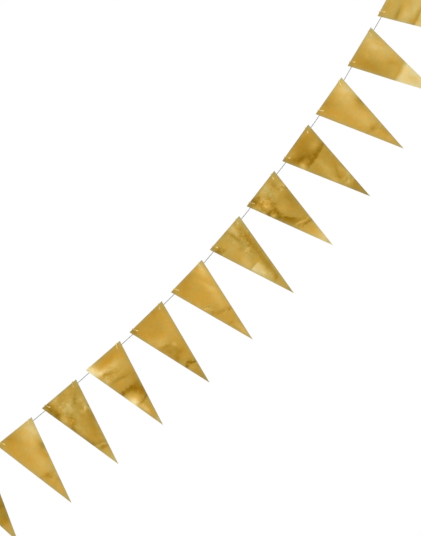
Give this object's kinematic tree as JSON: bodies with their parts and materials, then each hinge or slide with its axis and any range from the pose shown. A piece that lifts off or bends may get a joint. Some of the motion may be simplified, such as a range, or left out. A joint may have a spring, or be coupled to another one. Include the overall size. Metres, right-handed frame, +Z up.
{
  "type": "gold foil pennant bunting",
  "caption": "Swag of long gold foil pennants, each tied at two punched holes to one thin thread that runs behind them and ends in a small knotted loop at both ends.",
  "frame": {"origin": "far inside of the thread's upper end loop, where a hook holds it, in the plane of the thread", "axes": "+Z up; +X to the right; the pennants face -Y; the swag climbs from the lower left to the upper right"},
  "size_m": [1.3365, 0.0148, 1.45],
  "materials": {
    "gold_foil": "metallised gold foil face, satin mirror with soft dents, creases and faint mottling",
    "thread": "pale grey twisted thread, matt"
  },
  "bodies": {
    "root": {"pennant_01": "gold_foil", "pennant_02": "gold_foil", "pennant_03": "gold_foil", "pennant_04": "gold_foil", "pennant_05": "gold_foil", "pennant_06": "gold_foil", "pennant_07": "gold_foil", "pennant_08": "gold_foil", "pennant_09": "gold_foil", "pennant_10": "gold_foil", "pennant_11": "gold_foil", "pennant_12": "gold_foil", "tie_01_upper": "thread", "tie_01_lower": "thread", "tie_02_upper": "thread", "tie_02_lower": "thread", "tie_03_upper": "thread", "tie_03_lower": "thread", "tie_04_upper": "thread", "tie_04_lower": "thread", "tie_05_upper": "thread", "tie_05_lower": "thread", "tie_06_upper": "thread", "tie_06_lower": "thread", "tie_07_upper": "thread", "tie_07_lower": "thread", "tie_08_upper": "thread", "tie_08_lower": "thread", "tie_09_upper": "thread", "tie_09_lower": "thread", "tie_10_upper": "thread", "tie_10_lower": "thread", "tie_11_upper": "thread", "tie_11_lower": "thread", "tie_12_upper": "thread", "tie_12_lower": "thread", "thread": "thread", "upper_knot": "thread", "upper_loop": "thread", "lower_knot": "thread", "lower_loop": "thread"}
  },
  "joints": []
}
